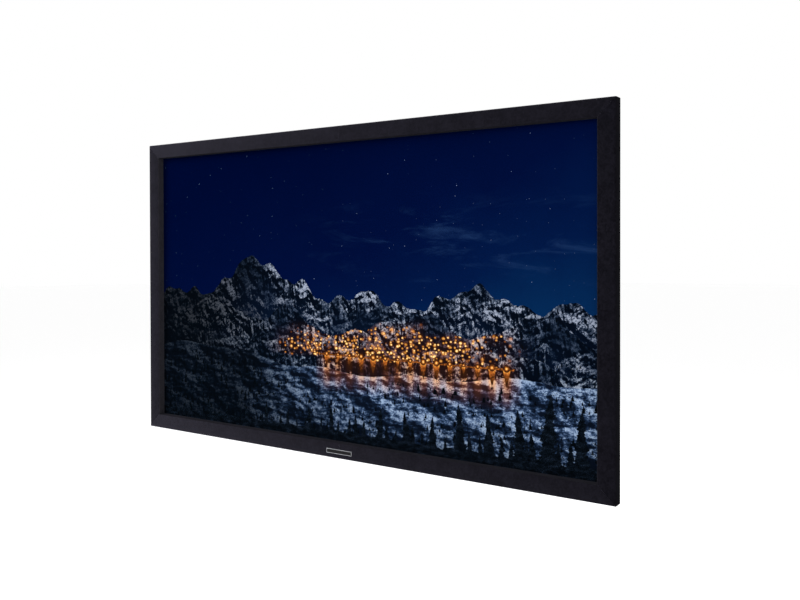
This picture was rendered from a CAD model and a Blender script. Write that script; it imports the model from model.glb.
"""Dresses the fixed frame projector screen: velvet, stretched sheet, night picture and fittings.

Lengths are metres. X is the viewer's right, Z is up, and the viewer stands on the -Y side.
"""

import logging
import math
from dataclasses import dataclass, field
from enum import Enum

import bmesh
import bpy
import numpy as np
from mathutils import Matrix, Vector


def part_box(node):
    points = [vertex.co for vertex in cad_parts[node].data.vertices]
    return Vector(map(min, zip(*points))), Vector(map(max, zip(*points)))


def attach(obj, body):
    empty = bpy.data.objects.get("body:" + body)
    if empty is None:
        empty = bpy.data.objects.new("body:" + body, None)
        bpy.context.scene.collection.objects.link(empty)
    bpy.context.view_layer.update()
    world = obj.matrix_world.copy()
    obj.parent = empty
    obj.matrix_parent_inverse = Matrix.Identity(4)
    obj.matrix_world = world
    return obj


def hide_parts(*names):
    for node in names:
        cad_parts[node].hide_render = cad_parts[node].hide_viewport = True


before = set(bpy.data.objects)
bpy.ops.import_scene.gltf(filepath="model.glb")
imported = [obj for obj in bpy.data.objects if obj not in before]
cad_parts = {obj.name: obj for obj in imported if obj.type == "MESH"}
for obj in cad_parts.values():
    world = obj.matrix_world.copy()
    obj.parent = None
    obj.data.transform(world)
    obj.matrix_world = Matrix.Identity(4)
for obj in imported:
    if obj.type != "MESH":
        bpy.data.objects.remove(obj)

log = logging.getLogger("projector_screen")
BODY = "root"
Colour = tuple[float, float, float, float]
WHITE: Colour = (1.0, 1.0, 1.0, 1.0)


def tone(red: int, green: int, blue: int) -> Colour:
    """Turns a colour written from 0 to 255 into the linear one that a shader takes.

    Args:
        red: red as a screen shows it.
        green: green as a screen shows it.
        blue: blue as a screen shows it.

    Returns:
        Linear red, green, blue and full opacity.
    """
    share = np.array([red, green, blue]) / 255
    linear = np.where(share <= 0.04045, share / 12.92, ((share + 0.055) / 1.055) ** 2.4)
    return (*(float(x) for x in linear), 1.0)


# ---- sizes ----


@dataclass(frozen=True)
class ScreenSizes:
    """Sizes that the sub-assemblies share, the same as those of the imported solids.

    Places across a side are taken from its outer edge, and depths from the velvet's front face.
    """

    view_width: float = 2.037
    view_height: float = 1.146
    face_width: float = 0.060
    frame_depth: float = 0.042
    recess_depth: float = 0.030
    outer_radius: float = 0.005
    inner_radius: float = 0.002
    velvet: float = 0.0008
    wall: float = 0.002
    fit: float = 0.0003
    joint_gap: float = 0.0003
    slot_width: float = 0.025
    hook_rail: float = 0.007
    sheet_thick: float = 0.0005
    sheet_lap: float = 0.013
    rod_radius: float = 0.0025
    film: float = 0.00025
    badge_thick: float = 0.001

    @property
    def outer_width(self) -> float:
        """Width over the borders."""
        return self.view_width + 2 * self.face_width

    @property
    def outer_height(self) -> float:
        """Height over the borders."""
        return self.view_height + 2 * self.face_width

    @property
    def picture_width(self) -> float:
        """Width of the picture's films, clear of the frame."""
        return self.view_width - 2 * self.fit

    @property
    def front_y(self) -> float:
        """Place of the velvet's front face along Y."""
        return -(self.frame_depth - self.badge_thick) / 2

    @property
    def slot_to(self) -> float:
        """Inner side of the T slot."""
        return self.velvet + self.fit + self.wall + self.slot_width

    @property
    def rod_u(self) -> float:
        """A rod's middle, across."""
        return self.face_width - self.sheet_lap

    @property
    def hem_radius(self) -> float:
        """Outside radius of a hem."""
        return self.rod_radius + self.fit + self.sheet_thick

    @property
    def sheet_v(self) -> float:
        """Depth of the sheet's front face."""
        return self.recess_depth + self.fit

    @property
    def rod_v(self) -> float:
        """A rod's middle, in depth."""
        return self.sheet_v + self.hem_radius


SIZES = ScreenSizes()


@dataclass(frozen=True)
class Side:
    """One side of the frame. A place on it is u inwards from the edge, v back and s along."""

    name: str
    corner_name: str
    corner: tuple[float, float]
    inwards: tuple[float, float]
    along: tuple[float, float]
    length: float
    halves: tuple[str, ...] = ()

    def place(self, u: np.ndarray, v: np.ndarray, s: np.ndarray) -> np.ndarray:
        """Works out places on the side: the corner, plus u inwards, v back and s along.

        Args:
            u: distances inwards from the outer edge.
            v: distances back from the front face.
            s: distances along the side from its corner.

        Returns:
            An array of the common shape of u, v and s, with x, y and z last.
        """
        u, v, s = np.broadcast_arrays(u, v, s)
        x = self.corner[0] + u * self.inwards[0] + s * self.along[0]
        z = self.corner[1] + u * self.inwards[1] + s * self.along[1]
        return np.stack([x, SIZES.front_y + v, z], axis=-1)


def make_sides() -> tuple[Side, ...]:
    """Makes the four sides, clockwise from the top as the viewer sees them."""
    wide, high = SIZES.outer_width, SIZES.outer_height
    right, top = wide / 2, high / 2
    return (
        Side("top", "top_left", (-right, top), (0, -1), (1, 0), wide, ("left", "right")),
        Side("right", "top_right", (right, top), (-1, 0), (0, -1), high),
        Side("bottom", "bottom_right", (right, -top), (0, 1), (-1, 0), wide, ("right", "left")),
        Side("left", "bottom_left", (-right, -top), (1, 0), (0, 1), high),
    )


SIDES = make_sides()


# ---- meshes ----


def arc(centre: tuple[float, float], radius: float, start: float, end: float,
        steps: int) -> np.ndarray:
    """Works out points on an arc: the centre plus radius times cosine and sine of even angles.

    Args:
        centre: the arc's middle.
        radius: its radius.
        start: first angle in degrees.
        end: last angle in degrees.
        steps: number of steps between the two.

    Returns:
        An array of steps + 1 points.
    """
    angle = np.radians(np.linspace(start, end, steps + 1))
    return np.stack([centre[0] + radius * np.cos(angle), centre[1] + radius * np.sin(angle)], -1)


def lengths_along(points: np.ndarray) -> np.ndarray:
    """Returns the distance from the first point to each, along the line that joins them."""
    steps = np.linalg.norm(np.diff(points, axis=0), axis=1)
    return np.concatenate([[0.0], np.cumsum(steps)])


def upright(x: np.ndarray, y: float, z: np.ndarray) -> np.ndarray:
    """Returns points of x and z at one depth y, in their common shape."""
    return np.stack(np.broadcast_arrays(x, y, z), axis=-1)


def pairs(u: np.ndarray, v: np.ndarray) -> np.ndarray:
    """Returns the pairs of u and v, in their common shape."""
    return np.stack(np.broadcast_arrays(u, v), axis=-1)


@dataclass
class Surface:
    """Collects patches, each a grid of points worked out as whole arrays, into one mesh."""

    points: list[np.ndarray] = field(default_factory=list)
    faces: list[np.ndarray] = field(default_factory=list)
    uvs: list[np.ndarray] = field(default_factory=list)
    slots: list[np.ndarray] = field(default_factory=list)
    count: int = 0
    merge: float = 2e-6
    sharp: float = math.radians(35)

    def patch(self, grid: np.ndarray, uv: np.ndarray | None = None, finish: int = 0) -> None:
        """Adds a grid of points with a face between each four neighbours.

        Args:
            grid: rows by columns by x, y and z.
            uv: rows by columns by u and v in metres. Where it is left out, both are zero.
            finish: which of the piece's finishes the patch takes.
        """
        rows, columns = grid.shape[:2]
        number = self.count + np.arange(rows * columns).reshape(rows, columns)
        corners = [number[:-1, :-1], number[:-1, 1:], number[1:, 1:], number[1:, :-1]]
        self.faces.append(np.stack(corners, axis=-1).reshape(-1, 4))
        self.points.append(grid.reshape(-1, 3))
        flat = np.broadcast_to(0.0 if uv is None else uv, (rows, columns, 2))
        self.uvs.append(flat.reshape(-1, 2))
        self.slots.append(np.full((rows - 1) * (columns - 1), finish, dtype=np.int32))
        self.count += rows * columns

    def slab(self, front: np.ndarray, thick: float, uv: np.ndarray, finish: int = 0) -> None:
        """Adds a thin closed body: the front grid, the same grid moved back, and their rim.

        Args:
            front: rows by columns by x, y and z of the front face.
            thick: distance that the back face lies behind it.
            uv: rows by columns by u and v of the front face.
            finish: which of the piece's finishes the body takes.
        """
        back = front + np.array([0, thick, 0])
        self.patch(front, uv, finish)
        self.patch(back[::-1], uv[::-1], finish)
        for edge in (np.s_[0, :], np.s_[-1, :], np.s_[:, 0], np.s_[:, -1]):
            self.patch(np.stack([front[edge], back[edge]]), np.stack([uv[edge]] * 2), finish)

    def build(self, name: str, finishes: list["Finish"], slot: str,
              *replaces: str) -> bpy.types.Object:
        """Makes the mesh, closes its seams, turns its faces outwards and adds it to the scene.

        Args:
            name: the piece's name.
            finishes: the finishes that its patches take, by number.
            slot: the record's material slot that the piece stands for.
            replaces: the solids that the piece stands for.

        Returns:
            The piece, riding on the body.
        """
        points, faces = np.concatenate(self.points), np.concatenate(self.faces)
        uvs, slots = np.concatenate(self.uvs), np.concatenate(self.slots)
        mesh = bpy.data.meshes.new(name)
        mesh.vertices.add(len(points))
        mesh.vertices.foreach_set("co", points.astype(np.float32).ravel())
        mesh.loops.add(faces.size)
        mesh.loops.foreach_set("vertex_index", faces.astype(np.int32).ravel())
        mesh.polygons.add(len(faces))
        mesh.polygons.foreach_set("loop_start", np.arange(0, faces.size, 4, dtype=np.int32))
        mesh.polygons.foreach_set("material_index", slots)
        layer = mesh.uv_layers.new(name="UVMap")
        layer.data.foreach_set("uv", uvs[faces.ravel()].astype(np.float32).ravel())
        mesh.update(calc_edges=True)
        tidy = bmesh.new()
        tidy.from_mesh(mesh)
        bmesh.ops.remove_doubles(tidy, verts=tidy.verts, dist=self.merge)
        bmesh.ops.recalc_face_normals(tidy, faces=tidy.faces)
        tidy.to_mesh(mesh)
        tidy.free()
        mesh.polygons.foreach_set("use_smooth", np.ones(len(mesh.polygons), dtype=bool))
        mesh.set_sharp_from_angle(angle=self.sharp)
        for finish in finishes:
            mesh.materials.append(finish.material())
        piece = bpy.data.objects.new(name, mesh)
        bpy.context.scene.collection.objects.link(piece)
        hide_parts(*replaces)
        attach(piece, BODY)
        log.info("%s: %d faces", name, len(mesh.polygons))
        return piece


def tube(path: np.ndarray, across: np.ndarray, half: tuple[float, float],
         sides: int) -> np.ndarray:
    """Carries an ellipse along a path, square to it, and closes both ends on their middles.

    Args:
        path: points of the middle line.
        across: reference direction, never along the path.
        half: half width square to path and reference, and half width square to path and that.
        sides: number of sides round.

    Returns:
        A grid with a ring of points for each point of the path and one more at each end.
    """
    direction = np.gradient(path, axis=0)
    direction /= np.linalg.norm(direction, axis=1, keepdims=True)
    first = np.cross(direction, across)
    first /= np.linalg.norm(first, axis=1, keepdims=True)
    second = np.cross(direction, first)
    angle = np.linspace(0, 2 * np.pi, sides + 1)[None, :, None]
    round_first = half[0] * np.cos(angle) * first[:, None]
    ring = path[:, None] + round_first + half[1] * np.sin(angle) * second[:, None]
    middle = np.repeat(path[[0, -1]][:, None], sides + 1, axis=1)
    return np.concatenate([middle[:1], ring, middle[1:]])


def turned(profile: np.ndarray, centre: np.ndarray, sides: int,
           flats: np.ndarray | float = 0.0) -> np.ndarray:
    """Turns a profile of radius and depth about an axis that runs back, along Y.

    Args:
        profile: rows of radius and place along Y.
        centre: x, y and z of the axis.
        sides: number of sides round.
        flats: for each row, 1 where the ring is a hexagon round that radius, and 0 where round.

    Returns:
        A grid of rows of the profile by places round.
    """
    angle = np.linspace(0, 2 * np.pi, sides + 1)
    hexagon = 1 / np.cos((angle + np.pi / 6) % (np.pi / 3) - np.pi / 6)
    flats = np.broadcast_to(flats, len(profile))
    reach = profile[:, :1] * (1 + flats[:, None] * (hexagon - 1))
    x, z = reach * np.cos(angle), reach * np.sin(angle)
    return np.stack(np.broadcast_arrays(x, profile[:, 1:], z), axis=-1) + centre


# ---- nodes ----


@dataclass(frozen=True)
class Wire:
    """A signal between nodes. What is done with it adds the nodes for that."""

    bench: "Nodes"
    socket: bpy.types.NodeSocket

    def calc(self, operation: str, *others: "Signal") -> "Wire":
        """Returns a simple operation on this signal and others."""
        return self.bench.wire("Math", self, *others, operation=operation)

    def __add__(self, other: "Signal") -> "Wire":
        """Returns the sum."""
        return self.calc("ADD", other)

    def __sub__(self, other: "Signal") -> "Wire":
        """Returns the difference."""
        return self.calc("SUBTRACT", other)

    def __rsub__(self, number: float) -> "Wire":
        """Returns a number less this signal."""
        return self.bench.wire("Math", number, self, operation="SUBTRACT")

    def __mul__(self, other: "Signal") -> "Wire":
        """Returns the product."""
        return self.calc("MULTIPLY", other)

    def __truediv__(self, other: "Signal") -> "Wire":
        """Returns the quotient."""
        return self.calc("DIVIDE", other)

    def most(self, other: "Signal") -> "Wire":
        """Returns the greater of the two."""
        return self.calc("MAXIMUM", other)

    def level(self, low: float, high: float, start: float = 0, end: float = 1) -> "Wire":
        """Returns start below low, end above high, and a smooth run between them."""
        return self.bench.wire("MapRange", self, low, high, start, end,
                               interpolation_type="SMOOTHSTEP")

    def split(self) -> tuple["Wire", ...]:
        """Returns the three parts of a vector."""
        node = self.bench.node("SeparateXYZ", self)
        return tuple(Wire(self.bench, part) for part in node.outputs)

    def stretch(self, x: float, y: float, z: float) -> "Wire":
        """Returns the vector with each part times its own number."""
        return self.bench.wire("VectorMath", self, (x, y, z), operation="MULTIPLY")

    def shift(self, x: float, y: float, z: float) -> "Wire":
        """Returns the vector moved by three numbers."""
        return self.bench.wire("VectorMath", self, (x, y, z), operation="ADD")

    def noise(self, scale: float, detail: float, rough: float, bend: float = 0) -> "Wire":
        """Returns a cloudy pattern from 0 to 1 that follows this place.

        Args:
            scale: clouds per metre.
            detail: how many finer layers it has.
            rough: how strong the finer layers are.
            bend: how far its lines are bent.

        Returns:
            The pattern.
        """
        node = self.bench.node("TexNoise", self)
        self.bench.fill(node, Scale=scale, Detail=detail, Roughness=rough, Distortion=bend)
        return Wire(self.bench, node.outputs[0])

    def cells(self, scale: float) -> tuple["Wire", ...]:
        """Finds the nearest of many dots scattered over the plane of this place.

        Args:
            scale: dots per metre.

        Returns:
            The distance to the dot in cells, the dot's three random numbers, and its place.
        """
        node = self.bench.node("TexVoronoi", self, voronoi_dimensions="2D")
        self.bench.fill(node, Scale=scale)
        names = ("Distance", "Color", "Position")
        distance, random, place = (Wire(self.bench, node.outputs[name]) for name in names)
        return distance, *random.split(), place

    def mix(self, first: "Wire | Colour", second: "Wire | Colour") -> "Wire":
        """Returns the first colour changed into the second by this share."""
        node = self.bench.node("Mix", self, data_type="RGBA")
        for colour, socket in zip((first, second), node.inputs[6:8]):
            self.bench.put(colour, socket)
        return Wire(self.bench, node.outputs[2])

    def ramp(self, *stops: tuple[float, Colour]) -> "Wire":
        """Returns the colour at this value between stops of place and colour."""
        node = self.bench.node("ValToRGB", self)
        band = node.color_ramp
        while len(band.elements) < len(stops):
            band.elements.new(0.5)
        for stop, (place, colour) in zip(band.elements, stops):
            stop.position, stop.color = place, colour
        return Wire(self.bench, node.outputs[0])


Signal = float | Wire


class Nodes:
    """The nodes of a material or a world, with short calls that add to them."""

    def __init__(self, tree: bpy.types.NodeTree) -> None:
        """Takes a tree and empties it."""
        self.tree = tree
        self.tree.nodes.clear()

    def put(self, value: Signal | tuple[float, ...], socket: bpy.types.NodeSocket) -> None:
        """Links a signal to a socket, or sets a number, vector or colour on it."""
        if isinstance(value, Wire):
            self.tree.links.new(value.socket, socket)
        else:
            socket.default_value = value

    def fill(self, node: bpy.types.Node, **values: Signal | tuple[float, ...]) -> None:
        """Fills a node's sockets, each named with underscores for spaces."""
        for name, value in values.items():
            self.put(value, node.inputs[name.replace("_", " ")])

    def node(self, kind: str, *values: Signal | tuple[float, ...],
             **settings: str) -> bpy.types.Node:
        """Adds a node with its settings, and fills its first sockets in order."""
        node = self.tree.nodes.new(f"ShaderNode{kind}")
        for name, setting in settings.items():
            setattr(node, name, setting)
        for value, socket in zip(values, node.inputs):
            self.put(value, socket)
        return node

    def wire(self, kind: str, *values: Signal | tuple[float, ...], **settings: str) -> Wire:
        """Adds a node in the same way, and returns the signal from its first output."""
        return Wire(self, self.node(kind, *values, **settings).outputs[0])


class Bench(Nodes):
    """One material's nodes, round one principled shader."""

    def __init__(self, name: str) -> None:
        """Makes a material of that name."""
        self.material = bpy.data.materials.new(name)
        self.material.use_nodes = True
        super().__init__(self.material.node_tree)
        self.shader = self.node("BsdfPrincipled")
        self.node("OutputMaterial", Wire(self, self.shader.outputs["BSDF"]))
        self.place = self.node("TexCoord")

    def set(self, **values: Signal | Colour) -> None:
        """Fills the shader's sockets."""
        self.fill(self.shader, **values)

    def spot(self) -> Wire:
        """Returns the place on the object, in metres."""
        return Wire(self, self.place.outputs["Object"])

    def cloth(self) -> Wire:
        """Returns the place on the surface's own map, in metres."""
        return Wire(self, self.place.outputs["UV"])

    def wall(self, up: float = 1) -> Wire:
        """Returns the place seen square to the screen, as x and z, with z stretched."""
        x, _, z = self.spot().split()
        return self.wire("CombineXYZ", x, z * up, 0.0)

    def bump(self, height: Wire, distance: float, strength: float) -> None:
        """Tilts the surface by a height pattern, for so many metres of height from 0 to 1."""
        node = self.node("Bump")
        self.fill(node, Strength=strength, Distance=distance, Height=height)
        self.set(Normal=Wire(self, node.outputs[0]))


# ---- finishes ----


class Finish:
    """A finish that makes its material once and gives the same one again."""

    made: dict["Finish", bpy.types.Material] = {}

    def label(self) -> str:
        """Returns the material's name: the finish's own, or else that of its class."""
        return getattr(self, "name", type(self).__name__)

    def paint(self, bench: Bench) -> None:
        """Puts the finish's nodes on the bench."""
        raise NotImplementedError

    def material(self) -> bpy.types.Material:
        """Returns the finish's material, made the first time."""
        if self not in Finish.made:
            bench = Bench(self.label())
            self.paint(bench)
            Finish.made[self] = bench.material
        return Finish.made[self]


@dataclass(frozen=True)
class Velvet(Finish):
    """Short black velvet with its nap brushed a little unevenly."""

    name: str = "black_velvet_nap"
    base: Colour = tone(2, 2, 4)
    brushed: Colour = tone(22, 21, 28)
    sheen: float = 0.61
    tint: Colour = tone(212, 208, 234)

    def paint(self, bench: Bench) -> None:
        """Mixes two near blacks by wide marks, short strokes and fine fibres, under one sheen."""
        spot = bench.spot()
        marks = spot.noise(12, 5, 0.62, bend=0.6)
        strokes = spot.noise(70, 4, 0.7, bend=1.2)
        fibres = spot.noise(1100, 2, 0.6)
        share = marks.level(0.32, 0.68, 0, 0.25) + strokes.level(0.34, 0.66, 0, 0.5)
        share = share + fibres.level(0.3, 0.75, 0, 0.25)
        bench.set(Base_Color=share.mix(self.base, self.brushed), Roughness=1.0)
        bench.set(Specular_IOR_Level=0.0, Sheen_Weight=self.sheen, Sheen_Roughness=0.42)
        bench.set(Sheen_Tint=self.tint)
        bench.bump(fibres + marks * 0.9, 0.0004, 0.7)


class Grain(Enum):
    """Which way the drawn lines of a metal run."""

    ALONG_X = (4.0, 500.0, 500.0)
    ALONG_Z = (500.0, 500.0, 4.0)


@dataclass(frozen=True)
class DrawnMetal(Finish):
    """Metal with fine lines along its length, as extruding or rolling leaves them."""

    name: str
    grain: Grain
    dark: Colour = tone(150, 152, 156)
    light: Colour = tone(182, 184, 187)
    rough: tuple[float, float] = (0.34, 0.5)

    def label(self) -> str:
        """Returns the material's name."""
        return f"{self.name}_{self.grain.name.lower()}"

    def paint(self, bench: Bench) -> None:
        """Streaks the colour, roughness and height along the grain, with faint handling marks."""
        streaks = bench.spot().stretch(*self.grain.value).noise(1, 4, 0.6)
        marks = bench.spot().noise(14, 5, 0.65)
        share = (marks * 0.4 + streaks).level(0.45, 0.95)
        bench.set(Base_Color=share.mix(self.dark, self.light), Metallic=1.0)
        bench.set(Roughness=marks.level(0.3, 0.75, *self.rough))
        bench.bump(streaks, 0.00004, 0.7)


@dataclass(frozen=True)
class PowderCoat(Finish):
    """Black powder coat on steel, with its fine orange peel."""

    base: Colour = tone(34, 35, 38)
    high: Colour = tone(48, 49, 52)

    def paint(self, bench: Bench) -> None:
        """Mixes two dark greys by a soft cloud, over a fine pebbled height."""
        cloud, peel = bench.spot().noise(25, 3, 0.5), bench.spot().noise(700, 2, 0.4)
        bench.set(Base_Color=cloud.level(0.35, 0.7).mix(self.base, self.high))
        bench.set(Roughness=peel.level(0.2, 0.8, 0.38, 0.52), Specular_IOR_Level=0.45)
        bench.bump(peel, 0.00012, 0.5)


@dataclass(frozen=True)
class ZincSteel(Finish):
    """Bright zinc plated steel, a little cloudy."""

    dull: Colour = tone(150, 152, 158)
    bright: Colour = tone(196, 198, 202)

    def paint(self, bench: Bench) -> None:
        """Mixes two metal greys and two degrees of gloss by one cloud."""
        cloud = bench.spot().noise(120, 4, 0.6)
        bench.set(Base_Color=cloud.level(0.3, 0.7).mix(self.dull, self.bright), Metallic=1.0)
        bench.set(Roughness=cloud.level(0.3, 0.7, 0.38, 0.24))
        bench.bump(bench.spot().noise(900, 2, 0.5), 0.00002, 0.5)


@dataclass(frozen=True)
class ScreenFabric(Finish):
    """Screen sheet: a dark backing, and night blue in front, where it runs under the frame."""

    backing: Colour = tone(46, 47, 50)
    backing_light: Colour = tone(60, 61, 64)
    front: Colour = tone(3, 8, 26)
    front_light: Colour = tone(5, 12, 34)
    spring_step: float = 0.178
    threads: float = 7000.0

    def paint(self, bench: Bench) -> None:
        """Weaves two sets of fine threads, and lets the cloth rise a little between the springs.

        The pull of the springs is a sine along the edge that dies away with the distance from it.
        """
        x, _, z = bench.spot().split()
        weave = (x * self.threads).calc("SINE") * (z * self.threads).calc("SINE")
        cloud, mottle = bench.spot().noise(5, 4, 0.55), bench.spot().noise(160, 3, 0.6)
        share = cloud.level(0.3, 0.7, 0, 0.6) + mottle.level(0.3, 0.8, 0, 0.4)
        edge = SIZES.view_height / 2 - z.calc("ABSOLUTE")
        pull = (x * (2 * math.pi / self.spring_step)).calc("SINE") * edge.level(0.0, 0.22, 1, 0)
        facing = Wire(bench, bench.node("NewGeometry").outputs["Normal"])
        rear = facing.split()[1].level(-0.2, 0.2)
        front = cloud.level(0.3, 0.7).mix(self.front, self.front_light)
        bench.set(Base_Color=rear.mix(front, share.mix(self.backing, self.backing_light)))
        bench.set(Roughness=mottle.level(0.2, 0.8, 0.62, 0.78), Specular_IOR_Level=0.25)
        bench.bump(weave * 0.012 + pull * 0.5, 0.0012, 0.6)


@dataclass(frozen=True)
class BadgeRim(Finish):
    """Bright satin rim of the badge plate."""

    def paint(self, bench: Bench) -> None:
        """Brushes the rim along its length."""
        brushed = bench.spot().stretch(60, 900, 1500).noise(1, 4, 0.6)
        bench.set(Base_Color=brushed.mix(tone(122, 124, 128), tone(166, 168, 172)), Metallic=0.8)
        bench.set(Roughness=brushed.level(0.2, 0.8, 0.36, 0.5))
        bench.bump(brushed, 0.00002, 0.5)


@dataclass(frozen=True)
class BadgeField(Finish):
    """Bare satin black field of the badge plate."""

    def paint(self, bench: Bench) -> None:
        """Brushes a black lacquer along its length."""
        brushed = bench.spot().stretch(80, 900, 2500).noise(1, 4, 0.6)
        bench.set(Base_Color=brushed.mix(tone(6, 6, 8), tone(14, 14, 16)))
        bench.set(Roughness=brushed.level(0.2, 0.8, 0.42, 0.6), Specular_IOR_Level=0.12)
        bench.bump(brushed, 0.00002, 0.5)


# ---- finishes of the picture ----


@dataclass(frozen=True)
class LampRow:
    """The row of lamps: its ends as shares of the picture's width, its line of the height."""

    count: int = 15
    start: float = 0.46
    end: float = 0.84
    line: float = -0.215

    @property
    def foot(self) -> float:
        """Height of the lamp wall's foot."""
        return self.line * SIZES.view_height

    @property
    def step(self) -> float:
        """Distance between lamps."""
        return (self.end - self.start) / (self.count - 1) * SIZES.picture_width

    @property
    def first(self) -> float:
        """Place of the first lamp along X."""
        return (self.start - 0.5) * SIZES.picture_width

    @property
    def last(self) -> float:
        """Place of the last lamp along X."""
        return self.first + (self.count - 1) * self.step


LAMPS = LampRow()


@dataclass(frozen=True)
class Printed(Finish):
    """A finish of the picture: a colour that takes no gloss, on the sheet's very fine grain."""

    def colour(self, bench: Bench) -> Wire:
        """Returns the colour at each place of the picture."""
        raise NotImplementedError

    def paint(self, bench: Bench) -> None:
        """Puts the colour on the shader, without gloss, and adds the grain."""
        bench.set(Base_Color=self.colour(bench), Roughness=1.0, Specular_IOR_Level=0.0)
        bench.bump(bench.spot().noise(1800, 2, 0.5), 0.00003, 0.4)


def slope(flat: Wire, step: tuple[float, float], scale: float, detail: float, rough: float,
          bend: float = 0) -> Wire:
    """Lights a cloudy height from the upper left: its difference over a short step.

    Args:
        flat: the place on the picture.
        step: how far right and up the second height is taken.
        scale: clouds per metre.
        detail: how many finer layers the height has.
        rough: how strong they are.
        bend: how far its lines are bent.

    Returns:
        The fall of the height over the step.
    """
    near = flat.shift(*step, 0).noise(scale, detail, rough, bend)
    return flat.noise(scale, detail, rough, bend) - near


def dusk(bench: Bench, colour: Wire, reach: float = 0.14) -> Wire:
    """Darkens a colour to the left and towards the lower edge, along a cloudy line.

    Args:
        bench: the bench that the nodes go on.
        colour: the colour by full light.
        reach: place along X from which it has its full light.

    Returns:
        The darkened colour.
    """
    x, z, _ = bench.wall().split()
    drift = bench.wall().noise(3, 4, 0.6) * 0.5
    side = (x + drift).level(reach - 0.7, reach, 0.06, 1)
    low = (z + drift * 0.3).level(-0.52, -0.3, 0.5, 1)
    return (side * low).mix(tone(3, 6, 11), colour)


def lantern_light(bench: Bench, strength: float) -> tuple[Wire, Wire]:
    """Works out small warm lights on a slope above the lamp wall, with their glow.

    The lights are scattered dots, kept where a band over the wall is and where a cloud is bright.
    The glow is the same dots with a wide soft edge, and a little of the band itself.

    Args:
        bench: the bench that the nodes go on.
        strength: how much of the band is lit.

    Returns:
        The share of light and the share of glow, each from 0 to 1.
    """
    tall = 1.2
    flat = bench.wall(tall)
    x, high, _ = flat.split()
    height = high - tall * LAMPS.foot - flat.noise(4, 2, 0.5) * 0.12
    band = height.level(-0.08, -0.05) * height.level(0.03, 0.12, 1, 0)
    ends = x.level(-0.42, -0.1) * x.level(0.5, 0.82, 1, 0)
    patches = flat.noise(8, 3, 0.5).level(0.34, 0.56, 0.25, 1)
    where = band * ends * (patches * strength)
    light: Signal = 0.0
    glow: Signal = where * 0.45
    for scale, radius in ((31.0, 0.2), (58.0, 0.26)):
        distance, chance, size, _, _ = flat.cells(scale)
        lit = (where + chance * 0.8).level(0.85, 1.15)
        dot = distance.level(radius * 0.3, radius * 1.4, 1, 0) * lit
        light = (dot * size.level(0, 1, 0.45, 1.1)).most(light)
        glow = (distance.level(0.0, 0.85, 1, 0) * (lit * 0.9)).most(glow)
    return light, glow


def frost(bench: Bench, least: float) -> Wire:
    """Returns a fine speckle of frost and twigs, from the least given up to a little over 1."""
    fine, clump = bench.wall().noise(130, 4, 0.85), bench.wall(1.3).noise(45, 3, 0.7)
    return (fine + clump * 0.5).level(0.62, 0.86, least, 1.3)


def lamp_pools(bench: Bench, reach: float) -> Wire:
    """Works out pools of light under the lamp row: a cosine along it that dies away downhill.

    Args:
        bench: the bench that the nodes go on.
        reach: how far down the light goes.

    Returns:
        The share of light from 0 to 1.
    """
    soft = 0.06
    x, z, _ = bench.wall().split()
    depth = LAMPS.foot - z
    wave = ((x - LAMPS.first) * (2 * math.pi / LAMPS.step)).calc("COSINE")
    fall = depth.level(0.0, reach, 1, 0) * depth.level(-0.05, 0.01)
    ends = x.level(LAMPS.first - soft, LAMPS.first) * x.level(LAMPS.last, LAMPS.last + soft, 1, 0)
    return wave.level(-1.0, 1.0, 0.45, 1) * fall * ends


def small_firs(bench: Bench, scale: float, tall: float, wooded: Wire) -> Wire:
    """Draws small firs on scattered dots.

    A fir is dark where the distance from its middle line is less than a half width that falls
    evenly from its foot to its top, and a fine cloud frays that edge.

    Args:
        bench: the bench that the nodes go on.
        scale: firs per metre.
        tall: height of the tallest.
        wooded: share of the dots that carry a fir, from 0 to 1.

    Returns:
        1 on a fir and 0 beside it.
    """
    flat = bench.wall()
    _, chance, size, _, place = flat.cells(scale)
    across, up, _ = bench.wire("VectorMath", flat, place, operation="SUBTRACT").split()
    height = size.level(0, 1, tall * 0.5, tall)
    rise = up / height + 0.45
    fray = flat.noise(420, 3, 0.7).level(0.25, 0.75, 0.12, 0.5)
    half = height * fray * (1.0 - rise)
    inside = (half - across.calc("ABSOLUTE")).level(-0.0003, 0.0005)
    return inside * rise.level(0.0, 0.06) * (wooded - chance).level(-0.02, 0.02)


@dataclass(frozen=True)
class NightSky(Printed):
    """Navy night sky, paler low on the right, with thin cloud and a few stars."""

    def colour(self, bench: Bench) -> Wire:
        """Runs to paler blue down and to the right, under thin stretched cloud and stars."""
        flat = bench.wall()
        x, z, _ = flat.split()
        fall = x * 0.32 - z * 0.75 + flat.noise(2.2, 4, 0.55) * 0.3
        colour = fall.level(-0.5, 0.68).ramp(
            (0.0, tone(0, 6, 39)), (0.45, tone(1, 11, 49)), (0.75, tone(2, 21, 61)),
            (1.0, tone(5, 41, 81)))
        zone = z.level(0.0, 0.12) * z.level(0.2, 0.4, 1, 0) * x.level(-0.3, 0.25)
        thin = flat.stretch(2.4, 11, 1).noise(1.3, 7, 0.66, bend=0.5)
        cloud = thin.level(0.5, 0.74) * zone
        colour = (cloud * 0.45).mix(colour, tone(36, 62, 104))
        for scale, size, few, shine in ((14.0, 0.02, 0.72, 0.75), (30.0, 0.03, 0.86, 0.4)):
            distance, chance, _, _, _ = flat.cells(scale)
            star = distance.level(size * 0.4, size, 1, 0) * chance.level(few, 1.0)
            colour = (star * shine).mix(colour, tone(160, 178, 220))
        return colour


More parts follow.
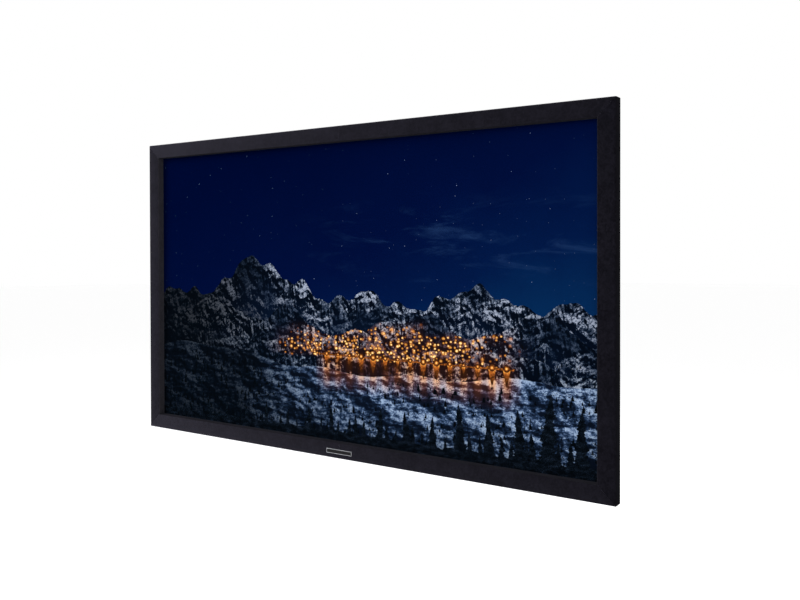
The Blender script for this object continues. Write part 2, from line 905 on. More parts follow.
@dataclass(frozen=True)
class SnowyRock(Printed):
    """A slope of rock with snow on it under moonlight, and warm light low on it."""

    name: str
    snow: float
    pale: Colour
    dark: Colour = tone(3, 8, 18)
    haze: float = 0.0
    warm: float = 0.0
    wood: float = 0.0
    seed: float = 0.0

    def colour(self, bench: Bench) -> Wire:
        """Lights a craggy height, and lays snow on what faces up.

        Snow lies where the light is high and a wider cloud allows it, and thins out down the
        slope. Mist lies low on it, with firs over that, and warm light on the nearer slopes.
        """
        flat = bench.wall(0.8).shift(self.seed, self.seed / 3, 0)
        below = bench.cloth().split()[1]
        crag = flat.stretch(1.7, 0.7, 1).noise(40, 7, 0.74)
        lit = slope(flat, (0.005, 0.008), 15, 9, 0.66, 0.3) * 7.5 + (crag - 0.5) * 1.5
        share = (lit + below.level(0.0, 0.04, 0.2, 0) + self.snow).level(-0.06, 0.5)
        drift = flat.noise(5, 4, 0.55).level(0.32, 0.64, 0.2, 1)
        share = share * (drift * below.level(0.04, 0.4, 1, 0.4)) * frost(bench, 0.25)
        cold = share.ramp((0.0, self.dark), (0.2, tone(18, 30, 48)), (0.5, tone(66, 78, 98)),
                          (0.9, self.pale))
        cold = below.level(0.03, 0.26, 0, self.haze).mix(cold, tone(9, 24, 50))
        colour = dusk(bench, cold)
        if self.wood:
            wooded = flat.noise(7, 3, 0.5).level(0.4, 0.62) * self.wood * below.level(0.01, 0.05)
            colour = small_firs(bench, 62.0, 0.015, wooded).mix(colour, tone(3, 7, 12))
        if self.warm:
            light, glow = lantern_light(bench, self.warm)
            hot = (share + crag * 0.25).ramp(
                (0.05, tone(20, 11, 8)), (0.35, tone(88, 45, 17)), (0.7, tone(160, 90, 36)),
                (1.0, tone(226, 162, 90)))
            colour = (glow.most(lamp_pools(bench, 0.12)) * 0.95).mix(colour, hot)
            lamps = light.ramp((0.0, tone(220, 112, 34)), (0.55, tone(250, 172, 74)),
                               (0.95, tone(255, 222, 152)))
            colour = light.mix(colour, lamps)
        return colour


@dataclass(frozen=True)
class SnowField(Printed):
    """Blue snow with soft hollows, firs and scrub, warm under the lamps."""

    def colour(self, bench: Bench) -> Wire:
        """Shades soft hollows, warms them in pools under the lamps, and scatters firs and scrub."""
        flat = bench.wall(1.9)
        x = flat.split()[0]
        below = bench.cloth().split()[1]
        grit = (flat.noise(110, 5, 0.75) - 0.5) * 0.75
        lit = slope(flat, (0.012, 0.016), 6, 8, 0.58) * 4.6 + grit + below.level(0, 0.02, 0.15, 0)
        share = lit.level(-0.26, 0.46) * x.level(0.0, 1.0, 0.98, 1.15) * frost(bench, 0.45)
        cold = share.ramp((0.0, tone(8, 15, 28)), (0.3, tone(34, 52, 80)),
                          (0.6, tone(84, 106, 140)), (1.0, tone(146, 166, 194)))
        warm = (share + 0.1).ramp((0.0, tone(40, 20, 12)), (0.4, tone(138, 74, 32)),
                                  (0.9, tone(240, 172, 98)))
        colour = lamp_pools(bench, 0.15).mix(dusk(bench, cold, 0.36), warm)
        cloud = bench.wall(1.4).noise(5.5, 4, 0.6)
        scrub = bench.wall(1.5).noise(95, 5, 0.75).level(0.53, 0.6)
        left = x.level(-0.9, -0.3, 1, 0)
        bushy = cloud.level(0.44, 0.6).most(left)
        colour = (scrub * (bushy * 0.85)).mix(colour, tone(6, 11, 18))
        wooded = cloud.level(0.42, 0.64, 0, 0.65) + (left + 0.14) * 0.5
        wooded = wooded * below.level(0.015, 0.05)
        for scale, tall in ((44.0, 0.021), (27.0, 0.034)):
            colour = small_firs(bench, scale, tall, wooded).mix(colour, tone(3, 6, 10))
        return colour


@dataclass(frozen=True)
class LampWall(Printed):
    """Low stone wall, warm under the lamps."""

    def colour(self, bench: Bench) -> Wire:
        """Mottles a brown stone."""
        stone = bench.spot().noise(130, 5, 0.7)
        return stone.ramp((0.3, tone(34, 18, 10)), (0.5, tone(104, 54, 22)),
                          (0.7, tone(200, 116, 46)))


@dataclass(frozen=True)
class LampGlow(Printed):
    """A lamp's light: pale in its middle, orange round that, and fading over the bank below."""

    def colour(self, bench: Bench) -> Wire:
        """Runs through warm colours with the distance on the map, broken by a growing cloud."""
        fade = bench.cloth().split()[1]
        cloud = bench.spot().noise(120, 6, 0.72)
        rock = (cloud - 0.5) * fade.level(0.2, 0.7, 0.3, 1.8)
        return (fade + rock).ramp(
            (0.0, tone(255, 230, 168)), (0.2, tone(252, 178, 80)), (0.36, tone(168, 90, 34)),
            (0.6, tone(86, 45, 19)), (1.0, tone(34, 18, 11)))


@dataclass(frozen=True)
class FirNeedles(Printed):
    """Firs nearly black against the snow, with flecks of snow on their branches."""

    def colour(self, bench: Bench) -> Wire:
        """Strews fine flecks on near black, more of them where a wider cloud is high."""
        flat = bench.wall(2)
        fine = flat.noise(420, 3, 0.7) + flat.noise(30, 3, 0.6) * 0.4
        return (fine.level(0.74, 0.9) * 0.5).mix(tone(3, 6, 10), tone(60, 78, 104))


# ---- the velvet frame ----


@dataclass
class VelvetCovering:
    """The six lengths of velvet wrapped over the frame.

    The tuck is how the outer face dips at an end: distance from the end, and depth. Plain is the
    number of sections between the two tucks.
    """

    steps: int = 12
    creased: int = 4
    plain: int = 7
    butt: float = 0.00001
    tuck: tuple[tuple[float, float], ...] = (
        (0.0, 0.0005), (0.00015, 0.00025), (0.0004, 0.00008),
        (0.0009, 0.0), (0.0016, 0.0), (0.0025, 0.0))

    def line(self, inset: float) -> np.ndarray:
        """Works out one face of the wrap: up the outer side, over the front, down to the picture.

        Args:
            inset: distance of the line inside the outer face.

        Returns:
            Points of u and v, as many for each inset.
        """
        out, inn, face = SIZES.outer_radius, SIZES.inner_radius, SIZES.face_width
        return np.concatenate([
            [[inset, SIZES.frame_depth]],
            arc((out, out), out - inset, 180, 270, self.steps),
            arc((face - inn, inn), inn - inset, -90, 0, self.steps // 2),
            [[face - inset, SIZES.recess_depth]],
        ])

    def finishes(self, side: Side) -> list[Finish]:
        """Returns a side's face, outer side and recess. An upright's nap lies the other way."""
        outer = Velvet("black_velvet_side", tone(9, 9, 12), tone(18, 18, 22), 0.02)
        if side.halves:
            recess = Velvet("black_velvet_recess", tone(21, 21, 25), tone(31, 31, 36), 0.03)
            return [Velvet(), outer, recess]
        recess = Velvet("black_velvet_upright_recess", tone(39, 38, 43), tone(52, 51, 57), 0.03)
        return [Velvet("black_velvet_upright", sheen=0.385), outer, recess]

    def length(self, side: Side, name: str, start: float, end: float,
               mitres: tuple[bool, bool]) -> None:
        """Carries the wrap along one length of the frame. Its outer face dips where it ends.

        Args:
            side: the side of the frame.
            name: what the length is called.
            start: where it starts along the side.
            end: where it ends.
            mitres: whether each end is cut at 45 degrees.
        """
        inner, tuck, level = self.line(SIZES.velvet), np.array(self.tuck), np.zeros(self.plain)
        depths = np.concatenate([tuck[:, 1], level, tuck[::-1, 1]])
        lines = np.stack([self.line(depth) for depth in depths])
        inners = np.broadcast_to(inner, lines.shape)
        loops = np.concatenate([lines, inners[:, ::-1], lines[:, :1]], axis=1)
        first, last = start + mitres[0] * loops[..., 0], end - mitres[1] * loops[..., 0]
        between = np.linspace(0, 1, self.plain + 2)[1:-1]
        share = np.concatenate([np.zeros(len(tuck)), between, np.ones(len(tuck))])[:, None]
        step = np.concatenate([tuck[:, 0], level, -tuck[::-1, 0]])[:, None]
        places = first + share * (last - first) + step
        grid = side.place(loops[..., 0], loops[..., 1], places)
        uv = pairs(places, lengths_along(loops[len(loops) // 2]))
        fold, turn = 2 + self.creased, self.steps + 2 + self.steps // 4
        surface = Surface()
        for cut, finish in ((np.s_[:fold], 1), (np.s_[fold - 1:turn], 0), (np.s_[turn - 1:], 2)):
            surface.patch(grid[:, cut], uv[:, cut], finish)
        count = len(inner)
        for row in (0, -1):
            rim = np.stack([grid[row, :count], grid[row, count:2 * count][::-1]])
            surface.patch(rim, finish=1)
        surface.build(f"{name}_velvet", self.finishes(side), "black_velvet", f"velvet_{name}")

    def make(self) -> None:
        """Makes the six lengths: the long sides are two halves that meet in the middle."""
        for side in SIDES:
            gap, middle, last = SIZES.joint_gap / 2, side.length / 2, side.length - self.butt
            if side.halves:
                names = [f"{side.name}_{half}" for half in side.halves]
                self.length(side, names[0], self.butt, middle - gap, (True, False))
                self.length(side, names[1], middle + gap, last, (False, True))
            else:
                self.length(side, side.name, self.butt, last, (True, True))


@dataclass
class BadgePlate:
    """The bare badge plate on the lower border: a bright rim round a dark field."""

    width: float = 0.120
    height: float = 0.017
    radius: float = 0.002
    least_radius: float = 0.0002
    edge: float = 0.0003
    rim: float = 0.0017
    sunk: float = 0.0003
    fall: float = 0.0002
    middle: float = 0.026

    def ring(self, inset: float, y: float, share: float = 1.0) -> np.ndarray:
        """Works out a rectangle with round corners, drawn in towards the plate's middle.

        Args:
            inset: distance inwards from the plate's outline.
            y: its place along Y.
            share: 1 for the rectangle itself, and 0 for the plate's middle.

        Returns:
            Points of x, y and z round it, closed on the first.
        """
        r = max(self.radius - inset, self.least_radius)
        x, z = self.width / 2 - inset - r, self.height / 2 - inset - r
        turns = (((x, -z), -90), ((x, z), 0), ((-x, z), 90), ((-x, -z), 180))
        line = np.concatenate([arc(centre, r, start, start + 90, 6) for centre, start in turns])
        line = np.concatenate([line, line[:1]]) * share
        return upright(line[:, 0], y, line[:, 1] + self.middle - SIZES.outer_height / 2)

    def make(self) -> None:
        """Rings step up the edge, over the rim, down to the field and in to its middle."""
        back, edge = SIZES.front_y, self.edge
        front = back - SIZES.badge_thick
        floor, last = front + self.sunk, self.rim + self.fall
        steps = ((0, back), (0, front + edge), (edge * 0.4, front + edge * 0.3), (edge, front),
                 (self.rim, front), (last, floor))
        surface = Surface()
        surface.patch(np.stack([self.ring(0, back, 0), *(self.ring(*step) for step in steps)]))
        field_rings = [self.ring(last, floor, share) for share in (1, 0.6, 0)]
        surface.patch(np.stack(field_rings), finish=1)
        surface.build("badge_plate_bare", [BadgeRim(), BadgeField()], "badge", "badge_plate")


# ---- the sheet, its rods and springs ----


def spring_places(side: Side, start: float = 0.100, pitch: float = 0.180) -> np.ndarray:
    """Works out the springs' places: an even number, evenly spaced between the side's starts.

    Args:
        side: the side of the frame.
        start: distance from the corner to the first spring.
        pitch: spacing that the even run comes close to.

    Returns:
        Distances along the side.
    """
    run = side.length - 2 * start
    count = 2 * max(2, math.floor(run / pitch / 2 + 1))
    return start + np.arange(count) * run / (count - 1)


@dataclass
class ProjectionSheet:
    """The stretched sheet and the hems round its rods."""

    corner_cut: float = 0.019
    hem_start: float = 0.036
    window: float = 0.012
    weld: float = 0.012
    gap: float = 0.00002
    columns: int = 121
    rows: int = 65

    @property
    def half(self) -> tuple[float, float]:
        """Half the width and half the height of the flat part."""
        return SIZES.outer_width / 2 - SIZES.rod_u, SIZES.outer_height / 2 - SIZES.rod_u

    @property
    def hem_line(self) -> np.ndarray:
        """The hem's middle line: once round the rod, a bend onto the sheet's back, and the lap."""
        mean = SIZES.hem_radius - SIZES.sheet_thick / 2
        u, v = SIZES.rod_u, SIZES.rod_v
        lie = SIZES.sheet_v + 1.5 * SIZES.sheet_thick + self.gap
        bend = v - lie
        centre = u + mean + bend
        onto = arc((centre, v), bend, -180, -90, 6)[1:]
        return np.concatenate([arc((u, v), mean, -90, -360, 20), onto, [[centre + self.weld, lie]]])

    @property
    def flat_size(self) -> tuple[float, float]:
        """Width and height of the cut sheet: the flat part and both hems unrolled."""
        spare = float(lengths_along(self.hem_line)[-1])
        return 2 * (self.half[0] + spare), 2 * (self.half[1] + spare)

    def make_web(self) -> bpy.types.Object:
        """Makes the flat part: a grid whose height shrinks by the corner cut near its ends."""
        wide, high = self.half
        cut = self.corner_cut
        x = np.concatenate([[-wide], np.linspace(-wide + cut, wide - cut, self.columns), [wide]])
        reach = high - np.clip(np.abs(x) - (wide - cut), 0, cut)
        z = np.linspace(-1, 1, self.rows)[:, None] * reach
        surface = Surface()
        front = SIZES.front_y + SIZES.sheet_v
        surface.slab(upright(x, front, z), SIZES.sheet_thick, pairs(x, z))
        return surface.build("screen_sheet", [ScreenFabric()], "screen_fabric", "projection_sheet")

    def make_hems(self) -> bpy.types.Object:
        """Makes the hems: the hem line with a thickness, between the windows for the springs."""
        line = self.hem_line
        tangent = np.gradient(line, axis=0)
        tangent /= np.linalg.norm(tangent, axis=1, keepdims=True)
        half_thick = SIZES.sheet_thick / 2 - self.gap / 2
        normal = np.stack([-tangent[:, 1], tangent[:, 0]], axis=-1) * half_thick
        outer, inner = line + normal, line - normal
        loop = np.concatenate([outer, inner[::-1], outer[:1]])
        ends = SIZES.rod_u + self.hem_start
        surface = Surface()
        for side in SIDES:
            places = spring_places(side)
            starts = np.concatenate([[ends], places + self.window / 2])
            stops = np.concatenate([places - self.window / 2, [side.length - ends]])
            for start, stop in zip(starts, stops):
                s = np.linspace(start, stop, 3)[:, None]
                grid = side.place(loop[:, 0], loop[:, 1], s)
                surface.patch(grid, pairs(s, lengths_along(loop)))
                for row in (0, -1):
                    faces = [side.place(*part.T, s[row]) for part in (outer, inner)]
                    surface.patch(np.stack(faces))
        return surface.build("sheet_hems", [ScreenFabric()], "screen_fabric", "projection_sheet")

    def make(self) -> None:
        web, hems = self.make_web(), self.make_hems()
        self.flat_size
        log.info("sheet cut to %.4f by %.4f m", *self.flat_size)


@dataclass
class RodAndSprings:
    """One tension rod, with the springs that pull it towards the hook rail."""

    side: Side
    rod_start: float = 0.032
    bevel: float = 0.0005
    coil_radius: float = 0.00175
    wire: float = 0.0004
    turns: int = 8
    strip: tuple[float, float] = (0.0007, 0.0015)
    bend: float = 0.0012
    tip: float = 0.0012
    clip_end: float = 0.0022
    clip_lap: float = 0.0006
    hook_end: float = 0.0014
    hook_lap: float = 0.0004
    hook_gap: float = 0.0001

    def spring(self, surface: Surface, s: float) -> None:
        """Adds one spring: a helix along u, a hook bent over the rod, and a clip over the rail.

        Args:
            surface: the surface that takes the patches.
            s: the spring's place along the side.
        """
        side, u_rod, v_rod = self.side, SIZES.rod_u, SIZES.rod_v
        rail_u = SIZES.slot_to + SIZES.wall + SIZES.fit
        rail_v = SIZES.recess_depth + SIZES.hook_rail
        coil_from = rail_u + self.clip_end
        coil_to = u_rod - SIZES.rod_radius - self.hook_end
        share = np.linspace(0, 1, 12 * self.turns + 1)
        angle = 2 * np.pi * self.turns * share
        helix = side.place(coil_from + share * (coil_to - coil_from),
                           v_rod + self.coil_radius * np.sin(angle),
                           s + self.coil_radius * np.cos(angle))
        inwards, along = (np.array([x, 0, z]) for x, z in (side.inwards, side.along))
        round_wire = (self.wire, self.wire)
        surface.patch(tube(helix, inwards, round_wire, 6))
        reach = SIZES.rod_radius + self.wire + self.hook_gap
        bent = arc((u_rod, v_rod), reach, 180, -30, 14)
        hook = np.concatenate([[[coil_to - self.hook_lap, v_rod]], bent])
        surface.patch(tube(side.place(*hook.T, s), along, round_wire, 6))
        half, bend = self.strip[0], self.bend
        top = rail_v + SIZES.fit + half - bend
        clip_u, tip_u = rail_u + half, SIZES.slot_to - SIZES.fit - half
        flat = np.concatenate([
            [[coil_from + self.clip_lap, v_rod]],
            arc((clip_u + bend, v_rod + bend), bend, -90, -180, 4),
            arc((clip_u - bend, top), bend, 0, 90, 4),
            arc((tip_u + bend, top), bend, 90, 180, 4),
            [[tip_u, rail_v - self.tip]],
        ])
        surface.patch(tube(side.place(*flat.T, s), along, self.strip, 8))

    def make(self) -> None:
        """Makes the rod, a cylinder with bevelled ends, and its springs."""
        surface = Surface()
        start = SIZES.rod_u + self.rod_start
        end = self.side.length - SIZES.rod_u - self.rod_start
        bevel, r = self.bevel, SIZES.rod_radius
        stations = np.array([start, start, start + bevel, end - bevel, end, end])[:, None]
        radius = np.array([0, r - bevel, r, r, r - bevel, 0])[:, None]
        angle = np.linspace(0, 2 * np.pi, 25)
        u, v = SIZES.rod_u + radius * np.cos(angle), SIZES.rod_v + radius * np.sin(angle)
        surface.patch(self.side.place(u, v, stations))
        for s in spring_places(self.side):
            self.spring(surface, float(s))
        name = self.side.name
        surface.build(f"rod_and_springs_{name}", [ZincSteel()], "zinc_steel", f"tension_rod_{name}")


# ---- screws, plates, bar and brackets ----


@dataclass
class SocketScrews:
    """A set of socket head screws in one plate."""

    name: str
    nodes: tuple[str, ...]
    head_radius: float = 0.005
    head: float = 0.0025
    shank: float = 0.003
    socket: float = 0.0021
    socket_depth: float = 0.0016
    point: float = 0.0003
    chamfer: float = 0.0004
    bevel: float = 0.0006
    edge: float = 0.0002

    def make(self) -> None:
        """Turns each screw: shank, head with a rounded edge, and a six sided socket.

        The place and the seat of each screw are those of its solid.
        """
        surface = Surface()
        radius, edge, bevel = self.head_radius, self.edge, self.bevel
        for node in self.nodes:
            low, high = (np.array(corner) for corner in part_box(node))
            tip, top = low[1], high[1]
            seat, floor = top - self.head, top - self.socket_depth
            rows = np.array([
                [0, tip], [self.shank - self.chamfer, tip], [self.shank, tip + self.chamfer],
                [self.shank, seat], [radius - edge, seat], [radius, seat + edge],
                [radius, top - bevel], [radius - 0.3 * bevel, top - 0.3 * bevel],
                [radius - bevel, top], [self.socket + edge, top], [self.socket, top - edge],
                [self.socket, floor], [0, floor - self.point],
            ])
            flats = np.repeat([0.0, 1.0], [9, 4])
            centre = np.array([(low[0] + high[0]) / 2, 0, (low[2] + high[2]) / 2])
            surface.patch(turned(rows, centre, 24, flats))
        surface.build(self.name, [ZincSteel()], "zinc_steel", *self.nodes)


@dataclass
class Fittings:
    """The aluminium lengths, joining plates, support bar and wall brackets, and their screws."""

    bevel: float = 0.0004
    merge: float = 1e-5
    sharp: float = math.radians(40)

    def dress(self, node: str, finish: Finish, bevelled: bool = False) -> None:
        """Gives a solid its material, and softens its edges with a live bevel where that shows.

        Args:
            node: the solid's name.
            finish: the finish it takes.
            bevelled: whether its edges are softened.
        """
        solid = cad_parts[node]
        if not solid.material_slots:
            solid.data.materials.append(None)
        for slot in solid.material_slots:
            slot.material = finish.material()
        if bevelled:
            weld = solid.modifiers.new("weld", "WELD")
            weld.merge_threshold = self.merge
            soft = solid.modifiers.new("bevel", "BEVEL")
            soft.width, soft.segments = self.bevel, 2
            soft.limit_method, soft.angle_limit = "ANGLE", self.sharp
        log.info("%s keeps its solid", node)

    def make(self) -> None:
        """Dresses the solids that stay, and makes the screws."""
        lying = DrawnMetal("drawn_aluminium", Grain.ALONG_X)
        standing = DrawnMetal("drawn_aluminium", Grain.ALONG_Z)
        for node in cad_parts:
            if node.startswith("frame_"):
                self.dress(node, lying if "top" in node or "bottom" in node else standing)
            elif node.startswith(("corner_bracket", "splice_plate", "wall_bracket")):
                self.dress(node, PowderCoat(), True)
        bar = DrawnMetal("bar_aluminium", Grain.ALONG_Z, tone(160, 162, 165), tone(190, 192, 195))
        self.dress("support_bar", bar)
        four = (1, 2, 3, 4)
        for side in SIDES:
            corner = side.corner_name
            names = tuple(f"corner_screw_{corner}_{i}" for i in four)
            SocketScrews(f"corner_screws_{corner}", names).make()
        for row in ("top", "bottom"):
            names = tuple(f"splice_screw_{row}_{i}" for i in four)
            SocketScrews(f"splice_screws_{row}", names).make()
            SocketScrews(f"bar_screw_{row}", (f"support_bar_screw_{row}",)).make()


# ---- the picture ----


@dataclass(frozen=True)
class Skyline:
    """A field's upper edge, in shares of the picture's height.

    Each mound is a bell curve: its place and half width as shares of the width, and its rise.
    Each ripple is a sine: its waves across the picture, and its rise.
    """

    base: float
    mounds: tuple[tuple[float, float, float], ...]
    ripples: tuple[tuple[float, float], ...]

    def height(self, share: np.ndarray) -> np.ndarray:
        """Adds the base, a bell curve for each mound and a sine for each ripple.

        Args:
            share: places across the picture, from 0 to 1.

        Returns:
            The edge's height above the picture's middle, in metres.
        """
        edge = np.full(share.shape, self.base)
        for at, half, rise in self.mounds:
            edge += rise * np.exp(-(((share - at) / half) ** 2))
        for waves, rise in self.ripples:
            edge += rise * np.sin(2 * np.pi * waves * share)
        return edge * SIZES.view_height


def rough_line(share: np.ndarray, coarse: int, octaves: int, seed: int,
               keep: float = 0.55) -> np.ndarray:
    """Adds straight runs between random heights, each octave twice as fine and weaker.

    Args:
        share: places from 0 to 1.
        coarse: runs in the first octave.
        octaves: number of octaves.
        seed: seed of the random heights.
        keep: strength of an octave against the one before.

    Returns:
        A broken line between about -1 and 1.
    """
    random = np.random.default_rng(seed)
    total, weight, line = 0.0, 1.0, np.zeros(share.shape)
    for octave in range(octaves):
        count = coarse * 2**octave
        heights = random.uniform(-1, 1, count + 1)
        line += weight * np.interp(share * count, np.arange(count + 1), heights)
        total += weight
        weight *= keep
    return line / total * 1.6


@dataclass
class NightPicture:
    """The made up winter night that shows on the sheet, as thin fields laid on each other."""

    columns: int = 1500
    under: float = 0.012
    skin: float = 0.12
    hills: Skyline = Skyline(
        -0.075, ((0.05, 0.09, 0.07), (0.27, 0.1, 0.19), (0.4, 0.05, 0.06), (0.55, 0.08, 0.075),
                 (0.78, 0.09, 0.1), (0.97, 0.07, 0.06)), ((13, 0.012), (23, 0.007)))
    middle_hills: Skyline = Skyline(
        -0.16, ((0.15, 0.11, 0.12), (0.36, 0.07, 0.1), (0.66, 0.09, 0.11), (0.9, 0.08, 0.12)),
        ((9, 0.01),))
    near_hills: Skyline = Skyline(
        -0.235, ((0.04, 0.1, 0.1), (0.3, 0.16, 0.06), (0.52, 0.1, 0.09), (0.8, 0.16, 0.07)),
        ((6, 0.008),))
    snow_field: Skyline = Skyline(
        -0.27, ((0.12, 0.2, 0.06), (0.95, 0.25, 0.03)), ((5, 0.008),))

    @property
    def bottom(self) -> float:
        """Height of the films' lower edge."""
        return -SIZES.view_height / 2 + SIZES.fit

    def face(self, layer: float) -> float:
        """Returns the front of a layer along Y: one film further forwards for each layer."""
        return SIZES.front_y + SIZES.sheet_v - layer * SIZES.film

    def land(self, name: str, node: str, skyline: Skyline, layer: float, rough: float, seed: int,
             finish: Finish, ceiling: Skyline | None = None, slot: str = "night_hills") -> None:
        """Makes a field from the picture's lower edge up to its skyline, with a broken edge.

        Args:
            name: the piece's name.
            node: the solid that it stands for.
            skyline: its upper edge.
            layer: how many films in front of the sheet its face lies.
            rough: how far its edge is broken, in metres.
            seed: seed of the broken edge.
            finish: its finish.
            ceiling: a skyline that it stays under, as a thin skin on that skyline's film.
            slot: the record's material slot.
        """
        share = np.linspace(0, 1, self.columns)
        crest = skyline.height(share) + rough * rough_line(share, 40, 5, seed)
        if ceiling is not None:
            crest = np.minimum(crest, ceiling.height(share) - self.under)
        z = crest + np.array([0.0, 0.25, 1.0])[:, None] * (self.bottom - crest)
        x = (share - 0.5) * SIZES.picture_width
        thick = SIZES.film * self.skin if ceiling else SIZES.film
        surface = Surface()
        surface.slab(upright(x, self.face(layer), z), thick, pairs(x, crest - z))
        surface.build(name, [finish], slot, node)

    def make_sky(self) -> None:
        """Makes the sky, one flat film over the whole picture."""
        x = np.linspace(-0.5, 0.5, 33) * SIZES.picture_width
        z = np.linspace(self.bottom, -self.bottom, 19)[:, None]
        surface = Surface()
        surface.slab(upright(x, self.face(1), z), SIZES.film, pairs(x, z))
        surface.build("night_sky", [NightSky()], "night_sky", "picture_night_sky")

    def make_lamps(self, wall: float = 0.006, radius: float = 0.014, glow: float = 0.060,
                   vary: float = 0.25, proud: float = 0.00002, dish: float = 0.00003) -> None:
        """Makes a low wall with a lamp at each step, and each lamp's light on the snow below.

        Args:
            wall: height of the wall.
            radius: radius of the largest lamp.
            glow: how far down its light goes.
            vary: how much the lamps' sizes vary.
            proud: how far a lamp's disc stands before the wall.
            dish: how far its edge lies behind its middle.
        """
        count, foot, step = LAMPS.count, LAMPS.foot, LAMPS.step
        places = LAMPS.first + step * np.arange(count)
        size = 1 - vary * (1 - np.sin(5 * np.arange(count)))
        front, film = self.face(4), SIZES.film
        surface = Surface()
        share = np.linspace(0, 1, 241)
        x = places[0] - step / 2 + share * (count * step)
        top = foot + wall * (1 + 0.3 * rough_line(share, 90, 2, 21))
        grid = upright(x, front, np.stack([top, np.full(x.shape, foot)]))
        surface.slab(grid, film, grid[..., [0, 2]])
        rows, across = np.linspace(0, 1, 7)[:, None], np.linspace(-1, 1, 5)
        for centre, scale in zip(places, size):
            r = radius * scale
            profile = [[0, film], [r, film], [r, dish], [r * 0.8, 0], [r * 0.4, 0], [0, 0]]
            middle = np.array([centre, front - proud, foot + wall])
            disc = turned(np.array(profile), middle, 20)
            away = np.linalg.norm((disc - middle)[..., [0, 2]], axis=-1) / r
            surface.patch(disc, pairs(away, away), 1)
            xs = centre + r * (1 - rows) ** 0.7 * across
            cone = upright(xs, front, foot - glow * scale * rows)
            surface.slab(cone, film, pairs(xs, 0.25 + 0.75 * rows), 1)
        surface.build("lamp_row", [LampWall(), LampGlow()], "lamp_light", "picture_lamps")

    def make_firs(self, count: int = 18, small: int = 46, rows: int = 72) -> None:
        """Makes the firs: each side's half width falls with height in three tiers of branches.

        Args:
            count: number of tall firs.
            small: number of small firs behind them.
            rows: steps up each fir.
        """
        random = np.random.default_rng(5)
        width, tall, film = SIZES.picture_width, SIZES.view_height, SIZES.film
        ground, sunk = self.bottom + 0.03 * tall, 0.01
        rise = np.linspace(0, 1, rows)
        tiers = np.interp(rise, [0, 0.33, 0.34, 0.66, 0.67, 1], [1, 0.45, 0.72, 0.28, 0.48, 0.02])
        surface = Surface()

        def branches(half: float) -> np.ndarray:
            """Returns one side's half widths: the tiers times a saw of branches and chance."""
            saw = 0.72 + 0.28 * ((rise * 17 + random.uniform(0, 1)) % 1)
            return half * tiers * saw * random.uniform(0.75, 1.05, rows)

        def fir(x: float, height: float, half: float, depth: float) -> None:
            """Adds one fir that leans a little, with its own chance on each side."""
            left, right = branches(half), branches(half)
            middle = x + 0.03 * height * np.sin(2.5 * rise + random.uniform(0, 6))
            xs = np.stack([middle - left, middle, middle + right], axis=-1)
            grid = upright(xs, depth, (ground - sunk + rise * (height + sunk))[:, None])
            surface.slab(grid, film * 0.5, grid[..., [0, 2]])

        for i in range(count):
            share = (i + 0.5) / count
            height = (0.07 + 0.17 * share**3) * tall * (1 - 0.15 * (1 - math.sin(4 * i)))
            half = min(0.24 * height, width / count / 2 - SIZES.fit)
            fir((share - 0.5) * width, height, half, self.face(5))
        for place in np.linspace(0.01, 0.99, small):
            share = place + random.uniform(-0.008, 0.008)
            height = (0.02 + 0.05 * share) * tall * random.uniform(0.6, 1.3)
            fir((share - 0.5) * (width - 0.05), height, 0.3 * height, self.face(4.6))
        share = np.linspace(0, 1, 400)
        top = ground + 0.006 * rough_line(share, 60, 4, 31)
        z = np.stack([top, np.full(share.shape, self.bottom)])
        grid = upright((share - 0.5) * width, self.face(4.9), z)
        surface.slab(grid, film * 0.8, grid[..., [0, 2]])
        surface.build("fir_row", [FirNeedles()], "night_firs", "picture_firs")

    def make(self) -> None:
        """Makes the fields from the back to the front."""
        self.make_sky()
        far = SnowyRock("far_snowy_rock", 0.1, tone(152, 160, 178), haze=0.6, seed=1.3)
        middle = SnowyRock("middle_snowy_rock", 0.07, tone(150, 158, 174), haze=0.3, warm=0.75,
                           wood=0.6, seed=4.1)
        near = SnowyRock("near_snowy_rock", 0.03, tone(136, 146, 162), warm=1.0, wood=0.9,
                         seed=7.7)
        node, far_line = "picture_hills", self.hills
        self.land("far_hills", node, far_line, 2, 0.008, 11, far)
        self.land("middle_hills", node, self.middle_hills, 2.2, 0.010, 12, middle, far_line)
        self.land("near_hills", node, self.near_hills, 2.4, 0.008, 13, near, far_line)
        self.land("snow_field", "picture_snow_field", self.snow_field, 3, 0.002, 14, SnowField(),
                  slot="night_snow")
        self.make_lamps()
        self.make_firs()


# ---- the studio ----


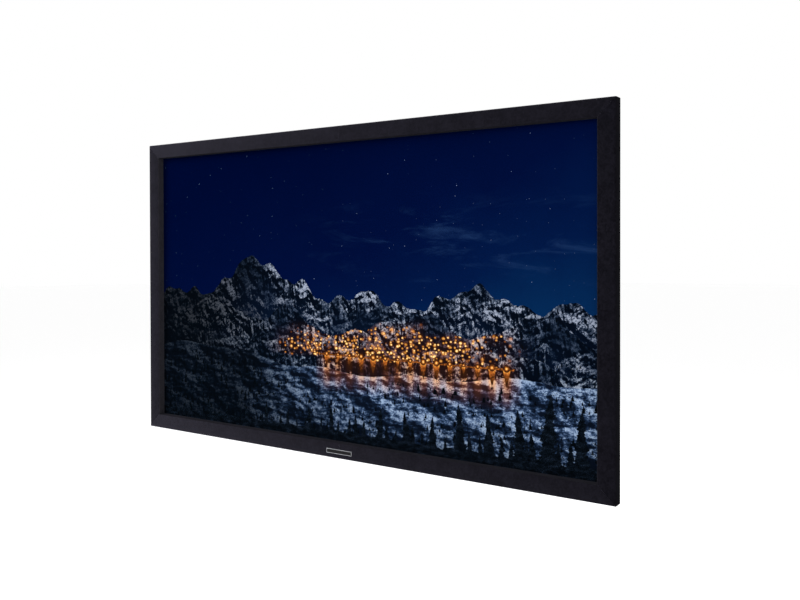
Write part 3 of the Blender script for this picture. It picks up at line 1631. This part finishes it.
@dataclass
class Studio:
    """Camera, plain soft light, pale floor and white surround."""

    focal_pixels: float = 830.01
    image: tuple[int, int] = (800, 600)
    axis: tuple[float, float] = (399.61, 258.20)
    eye: tuple[float, float, float] = (1.9437, -2.5095, 0.1620)
    looking: tuple[float, float, float] = (-0.55576, 0.83128, -0.01016)
    roll: float = -0.0021
    floor_drop: float = 0.9
    floor_radius: float = 40.0
    floor_colour: Colour = (0.86, 0.86, 0.86, 1.0)
    floor_lift: float = 0.46
    surround: float = 0.56

    def add(self, name: str, data: bpy.types.ID, matrix: Matrix) -> bpy.types.Object:
        """Adds an object with its place to the scene."""
        item = bpy.data.objects.new(name, data)
        item.matrix_world = matrix
        bpy.context.scene.collection.objects.link(item)
        return item

    def make_camera(self) -> None:
        """Sets the camera that the photograph's edges give: place, direction, lens and shift."""
        data = bpy.data.cameras.new("camera")
        data.sensor_fit, data.sensor_width = "HORIZONTAL", 36.0
        wide, high = self.image
        data.lens = self.focal_pixels / wide * data.sensor_width
        data.shift_x = (wide / 2 - self.axis[0]) / wide
        data.shift_y = (self.axis[1] - high / 2) / wide
        data.clip_start, data.clip_end = 0.05, 200.0
        turn = Vector(self.looking).to_track_quat("-Z", "Y").to_matrix().to_4x4()
        place = Matrix.Translation(self.eye) @ turn @ Matrix.Rotation(self.roll, 4, "Z")
        bpy.context.scene.camera = self.add("camera", data, place)

    def seen_directly(self, nodes: Nodes) -> Wire:
        """Returns 1 for camera, glossy and transmission rays, and 0 for those that carry light."""
        path = nodes.node("LightPath")
        names = ("Is Camera Ray", "Is Glossy Ray", "Is Transmission Ray")
        camera, glossy, through = (Wire(nodes, path.outputs[name]) for name in names)
        return camera.most(glossy).most(through)

    def make_world(self) -> None:
        """Makes the surround: white where it is seen, and a plain soft light where it lights."""
        world = bpy.data.worlds.new("surround")
        bpy.context.scene.world = world
        world.use_nodes = True
        nodes = Nodes(world.node_tree)
        lights, seen = (nodes.wire("Background", WHITE, power) for power in (self.surround, 1.0))
        mixed = nodes.wire("MixShader", self.seen_directly(nodes), lights, seen)
        nodes.node("OutputWorld", mixed)

    def make_floor(self) -> None:
        """Makes a pale floor below the hung screen. A little of its white is only for the eye."""
        height = -SIZES.outer_height / 2 - self.floor_drop
        angle = np.linspace(0, 2 * np.pi, 65)
        radius = np.linspace(0, self.floor_radius, 9)[:, None]
        x, y = radius * np.cos(angle), radius * np.sin(angle)
        points = np.stack([x, y, np.full(x.shape, height)], axis=-1)
        number = np.arange(x.size).reshape(x.shape)
        corners = [number[:-1, :-1], number[1:, :-1], number[1:, 1:], number[:-1, 1:]]
        faces = np.stack(corners, axis=-1).reshape(-1, 4)
        mesh = bpy.data.meshes.new("floor")
        mesh.from_pydata(points.reshape(-1, 3).tolist(), [], faces.tolist())
        bench = Bench("pale_floor")
        bench.set(Base_Color=self.floor_colour, Roughness=0.9, Emission_Color=WHITE)
        bench.set(Emission_Strength=self.seen_directly(bench) * self.floor_lift)
        mesh.materials.append(bench.material)
        floor = self.add("floor", mesh, Matrix())

    def make_lamp(self, name: str, place: tuple[float, float, float], size: float,
                  power: float) -> None:
        """Makes a large soft lamp that points at the screen's middle.

        Args:
            name: the lamp's name.
            place: where it stands.
            size: its side.
            power: its watts.
        """
        data = bpy.data.lights.new(name, "AREA")
        data.shape, data.size, data.energy = "SQUARE", size, power
        turn = (-Vector(place)).to_track_quat("-Z", "Y").to_matrix().to_4x4()
        self.add(name, data, Matrix.Translation(place) @ turn)

    def make(self) -> None:
        """Makes the studio."""
        bpy.context.scene.view_settings.view_transform = "Standard"
        self.make_camera()
        self.make_world()
        self.make_floor()
        self.make_lamp("front_left", (-3.4, -2.6, 2.0), 2.4, 150.0)
        self.make_lamp("front_right", (3.2, -5.6, 1.4), 3.0, 130.0)
        self.make_lamp("overhead", (0.0, -1.2, 4.2), 2.5, 30.0)
        self.make_lamp("behind", (1.5, 5.0, 2.8), 3.0, 130.0)


def main() -> None:
    """Builds the studio and each sub-assembly in order."""
    logging.basicConfig(level=logging.INFO, format="%(name)s: %(message)s")
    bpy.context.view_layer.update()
    Studio().make()
    Fittings().make()
    VelvetCovering().make()
    BadgePlate().make()
    for side in SIDES:
        RodAndSprings(side).make()
    ProjectionSheet().make()
    NightPicture().make()


if __name__ == "__main__":
    main()
